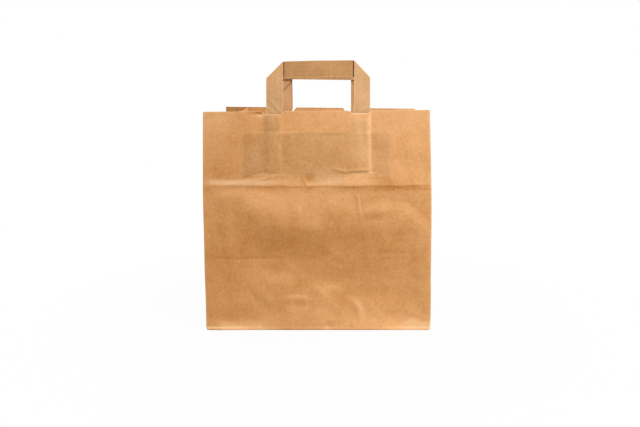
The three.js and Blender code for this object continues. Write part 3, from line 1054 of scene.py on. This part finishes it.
# Stations across the tape, with one beside each of its edges and a pair at each edge of its inner plies.
even_places = np.linspace(-HALF_TAPE, HALF_TAPE, 17)
edge_places = [0.3 - HALF_TAPE, HALF_TAPE - 0.3]
ply_places = [edge + soft for soft in (-PLY_SOFT, PLY_SOFT) for edge in TAPE_PLIES]
tape_stations = np.sort(np.concatenate([even_places, edge_places, ply_places]))


# Stations along half a tape, counted from the corner: down the leg before it, and along the bar after it.
def tape_rows(leg, bar):
    near = np.linspace(1.5, 23.0, 22)
    turn = np.linspace(-1.2, 1.2, 11)
    leg_rows = np.linspace(-leg, -24.0, 74)
    bar_rows = np.linspace(24.0, bar, 20)
    return np.concatenate([leg_rows, -near[::-1], turn, near, bar_rows])


# One handle: a tape whose legs lie outside, folded back at both top corners so the bar lies inside.
def fold_handle(name, side, slip, rise):
    corner_x = HANDLE_HALF - HALF_TAPE
    corner_v = PANEL_HEIGHT + rise - HALF_TAPE
    leg = corner_v - TAIL_END
    half = tape_rows(leg, corner_x)
    columns = 2 * len(half) - 2
    tape, column, line = paper_sheet(name, columns, len(tape_stations) - 1)
    left = column < len(half)
    hand = np.where(left, -1.0, 1.0)
    row = half[np.where(left, column, columns - column)]
    across = tape_stations[line]
    # Near the corner the stations lie along the fold, and further off they lie square to the tape.
    run = row + across * np.clip((21.0 - np.abs(row)) / 18.0, 0.0, 1.0)
    away = (run - across) / math.sqrt(2.0)
    along = (run + across) / math.sqrt(2.0)
    angle = np.clip(away / TAPE_ROUND + math.pi / 2, 0.0, math.pi)
    depth = TAPE_ROUND * (1.0 - np.cos(angle))
    beyond = np.maximum(np.abs(away) - TAPE_ROUND * math.pi / 2, 0.0)
    folded = TAPE_ROUND * np.sin(angle) - beyond
    x = hand * (corner_x - (along - folded) / math.sqrt(2.0))
    v = corner_v + (along + folded) / math.sqrt(2.0)
    on_bar = soft_step(0.0, 1.5, away)
    gap = np.exp(-((LEG_INNER - np.abs(x)) / 0.95) ** 2) * on_bar
    places = handle_point(side, x, v, depth + 0.6 * gap, slip)
    ply = sum(1.0 - soft_step(edge - PLY_SOFT, edge + PLY_SOFT, across) for edge in TAPE_PLIES)
    places[:, 1] += side * PLY_LIFT * ply * np.where(away > 0, -1.0, 1.0)
    move_points(tape, places)
    # Pale edges of the tape, from wear and painted highlights; on the front handle, painted highlights on the
    # foot creases and painted light towards the right.
    pale = 0.8 * soft_step(0.9, 0.0, HALF_TAPE - np.abs(across)) * (1.0 - 0.6 * on_bar)
    if side < 0:
        pale = pale + 0.5 * foot_creases(x, v, 1.6, 1.0) + 0.15 * soft_step(20, 50, x) * (1.0 - on_bar)
    give_attribute(tape, "wear_and_highlight", np.clip(pale, 0.0, 1.0))
    length = np.where(left, run, 2 * corner_x - run)
    lay_map(tape, length + leg, across + HALF_TAPE)
    tape.data.materials.append(tape_kraft)
    give_thickness(tape, TAPE_THICKNESS, 0, 0)
    # The bar is painted darker than the legs, as the tape's other face and as painted shade, with a painted
    # shadow in the gap at each end. Inside, the folded end shows as a painted dark line of shadow.
    bar_low = corner_v - HALF_TAPE
    fold_line = np.exp(-((np.abs(x) + v - LEG_INNER - bar_low + 1.2) / 1.2) ** 2) * (v < bar_low + 0.5)
    outer = -0.08 - 0.37 * on_bar - 0.8 * gap
    inner = -0.45 * on_bar - 1.1 * fold_line * (1.0 - on_bar)
    # The back handle is painted lighter, to make up for the light it lacks.
    if side > 0:
        outer = outer + 0.18
        inner = inner + 0.42
    tone_faces(tape, side, outer, inner)
    smooth_folds(tape, SHEET_SMOOTH)
    return tape


# The tape's own map: along it and across it.
def lay_map(tape, along, across):
    corners = np.empty(len(tape.data.loops), dtype=np.int32)
    tape.data.loops.foreach_get("vertex_index", corners)
    flat = np.stack([along * MM, across * MM], axis=-1)
    tape.data.uv_layers.active.data.foreach_set("uv", flat[corners].ravel())


# A tone with painted light and shade for each face of the tape. Half of the points lie on one face, and the
# other half on the other face.
def tone_faces(tape, side, outer, inner):
    y = points_of(tape).reshape(2, -1, 3)[:, :, 1]
    first_is_out = side * (y[0] - y[1]) > 0
    first = np.where(first_is_out, outer, inner)
    second = np.where(first_is_out, inner, outer)
    give_attribute(tape, "tone_light_and_shade", np.concatenate([first, second]))


# Small creases where the legs leave the mouth.
def foot_creases(x, v, width, height):
    return sum(crease(x, v, start, end, width, share * height) for start, end, share in FOOT_CREASES)


# A point of a handle: along its panel up to the patch, then leaning in over the mouth.
def handle_point(side, x, v, depth, slip):
    inset = PAPER + GLUE_GAP + TAPE_THICKNESS / 2
    point = panel_point(side, x, np.minimum(v, LEG_FOLD), inset + depth)
    rise = np.maximum(v - LEG_FOLD, 0.0)
    tilt = LEAN + HANDLE_LEAN
    ripple = 0.3 * np.sin(v / 9.0 + x / 11.0) * soft_step(0, 30, rise)
    if side < 0:
        ripple = ripple + foot_creases(x, v, 3.5, 0.35) * soft_step(0, 10, rise)
        leftward = np.clip(-x / LEG_INNER, 0.0, 1.0)
        rightward = np.clip(x / LEG_INNER, 0.0, 1.0) * np.clip((HANDLE_HALF - x) / TAPE_WIDTH, 0.0, 1.0)
        shift = LEFT_LEG_SHIFT * leftward + RIGHT_EDGE_SHIFT * rightward
        point[:, 0] += shift * soft_step(8, 24, rise) + slip * soft_step(0, 30, rise)
        drop = LEFT_END_DROP * leftward
    else:
        point[:, 0] += (slip - BACK_HANDLE_SQUEEZE * x) * soft_step(0, 30, rise)
        drop = BACK_HANDLE_SLOPE * (x + 40.0)
    point[:, 1] -= side * (rise * math.sin(tilt) - ripple)
    point[:, 2] += rise * math.cos(tilt) - drop * soft_step(40, 62, rise)
    return point


front_handle = fold_handle("front_tape", -1, FRONT_HANDLE_SLIP, HANDLE_RISE)
back_handle = fold_handle("back_tape", 1, BACK_HANDLE_SLIP, HANDLE_RISE + BACK_EXTRA_RISE)


# One patch: a thin sheet glued over both tails, stepping down between them.
def lay_patch(name, side):
    across = np.linspace(-PATCH_HALF, PATCH_HALF, 111)
    heights = np.linspace(PATCH_FOOT, PATCH_TOP, 26)
    patch, column, line = paper_sheet(name, len(across) - 1, len(heights) - 1)
    x = across[column]
    v = heights[line]
    over = band(np.abs(x), LEG_INNER - 0.8, HANDLE_HALF + 0.8, 1.1)
    over = over * soft_step(TAIL_END - 2.6, TAIL_END - 0.6, v)
    inset = PAPER + 0.35 + over * (TAPE_THICKNESS + 0.25)
    inset = inset + 0.12 * np.sin(x / 5.0) * np.sin(v / 7.0) ** 2 * (1.0 - over)
    move_points(patch, panel_point(side, x, v, inset))
    edge = np.minimum(PATCH_HALF - np.abs(x), np.minimum(v - PATCH_FOOT, PATCH_TOP - v))
    give_attribute(patch, "wear_and_highlight", 0.4 * soft_step(1.5, 0.0, edge))
    # Painted shade where the patch lies over the tails.
    give_attribute(patch, "shade_through", 0.15 * over)
    patch.data.materials.append(inside_kraft)
    if side < 0:
        turn_over(patch)
    give_thickness(patch, PATCH_PAPER, 1, 0)
    smooth_folds(patch, SHEET_SMOOTH)
    return patch


front_patch = lay_patch("front_patch_paper", -1)
back_patch = lay_patch("back_patch_paper", 1)


# Each piece stands for its solid in the frame.
for piece, node, slot in (
    (bag, "bag_body", "kraft_body"),
    (front_handle, "front_handle", "kraft_tape"),
    (back_handle, "back_handle", "kraft_tape"),
    (front_patch, "front_patch", "kraft_body"),
    (back_patch, "back_patch", "kraft_body"),
):
    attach(piece, "root")
    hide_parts(node)
for flap in (front_flap, back_flap):
    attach(flap, "root")


# The floor is white to the camera and keeps a faint shadow.
def white_floor():
    bpy.ops.object.select_all(action="DESELECT")
    bpy.ops.mesh.primitive_plane_add(size=8, location=(0, 0, 0))
    floor = bpy.context.object
    floor.name = "studio_floor"
    made = bpy.data.materials.new("floor_white")
    made.use_nodes = True
    nodes = made.node_tree.nodes
    links = made.node_tree.links
    nodes.remove(nodes["Principled BSDF"])
    paint = new_node(nodes, "BsdfDiffuse", {"Color": (FLOOR_GREY, FLOOR_GREY, FLOOR_GREY, 1)})
    glow = new_node(nodes, "Emission", {"Strength": 1.0})
    path = nodes.new("ShaderNodeLightPath")
    place = nodes.new("ShaderNodeTexCoord")
    far = nodes.new("ShaderNodeVectorMath")
    far.operation = "LENGTH"
    fade = range_node(nodes, FLOOR_NEAR, FLOOR_FAR, FLOOR_GLOW, 1.0)
    fade.interpolation_type = "SMOOTHSTEP"
    seen = nodes.new("ShaderNodeMath")
    seen.operation = "MULTIPLY"
    mix = nodes.new("ShaderNodeMixShader")
    links.new(place.outputs["Object"], far.inputs[0])
    links.new(far.outputs["Value"], fade.inputs["Value"])
    links.new(fade.outputs["Result"], seen.inputs[1])
    links.new(path.outputs["Is Camera Ray"], seen.inputs[0])
    links.new(seen.outputs[0], mix.inputs["Fac"])
    links.new(paint.outputs[0], mix.inputs[1])
    links.new(glow.outputs[0], mix.inputs[2])
    links.new(mix.outputs[0], nodes["Material Output"].inputs["Surface"])
    floor.data.materials.append(made)


# The world is white to the camera and lights the bag softly.
def white_world():
    world = bpy.data.worlds.new("studio_world")
    bpy.context.scene.world = world
    world.use_nodes = True
    nodes = world.node_tree.nodes
    links = world.node_tree.links
    light = nodes["Background"]
    light.inputs["Color"].default_value = (*WORLD_COLOUR, 1)
    light.inputs["Strength"].default_value = WORLD_STRENGTH
    seen = new_node(nodes, "Background", {"Color": (1, 1, 1, 1), "Strength": 1.0})
    path = nodes.new("ShaderNodeLightPath")
    mix = nodes.new("ShaderNodeMixShader")
    links.new(path.outputs["Is Camera Ray"], mix.inputs["Fac"])
    links.new(light.outputs[0], mix.inputs[1])
    links.new(seen.outputs[0], mix.inputs[2])
    links.new(mix.outputs[0], nodes["World Output"].inputs["Surface"])


# A square lamp that points at its target.
def soft_lamp(name, place, target, size, power):
    bpy.ops.object.light_add(type="AREA", location=place)
    lamp = bpy.context.object
    lamp.name = name
    lamp.data.shape = "SQUARE"
    lamp.data.size = size
    lamp.data.energy = power
    aim = [target[i] - place[i] for i in range(3)]
    flat = math.hypot(aim[0], aim[1])
    lamp.rotation_euler = (math.atan2(flat, -aim[2]), 0, math.atan2(-aim[0], aim[1]))


white_floor()
white_world()
soft_lamp("key_lamp", place=(0.50, -0.48, 1.15), target=(0.0, -0.08, 0.15), size=0.40, power=25.4)
soft_lamp("back_lamp", place=(-0.75, 0.75, 1.45), target=(0.0, 0.0, 0.15), size=1.0, power=26)
bpy.context.scene.view_settings.view_transform = "Standard"
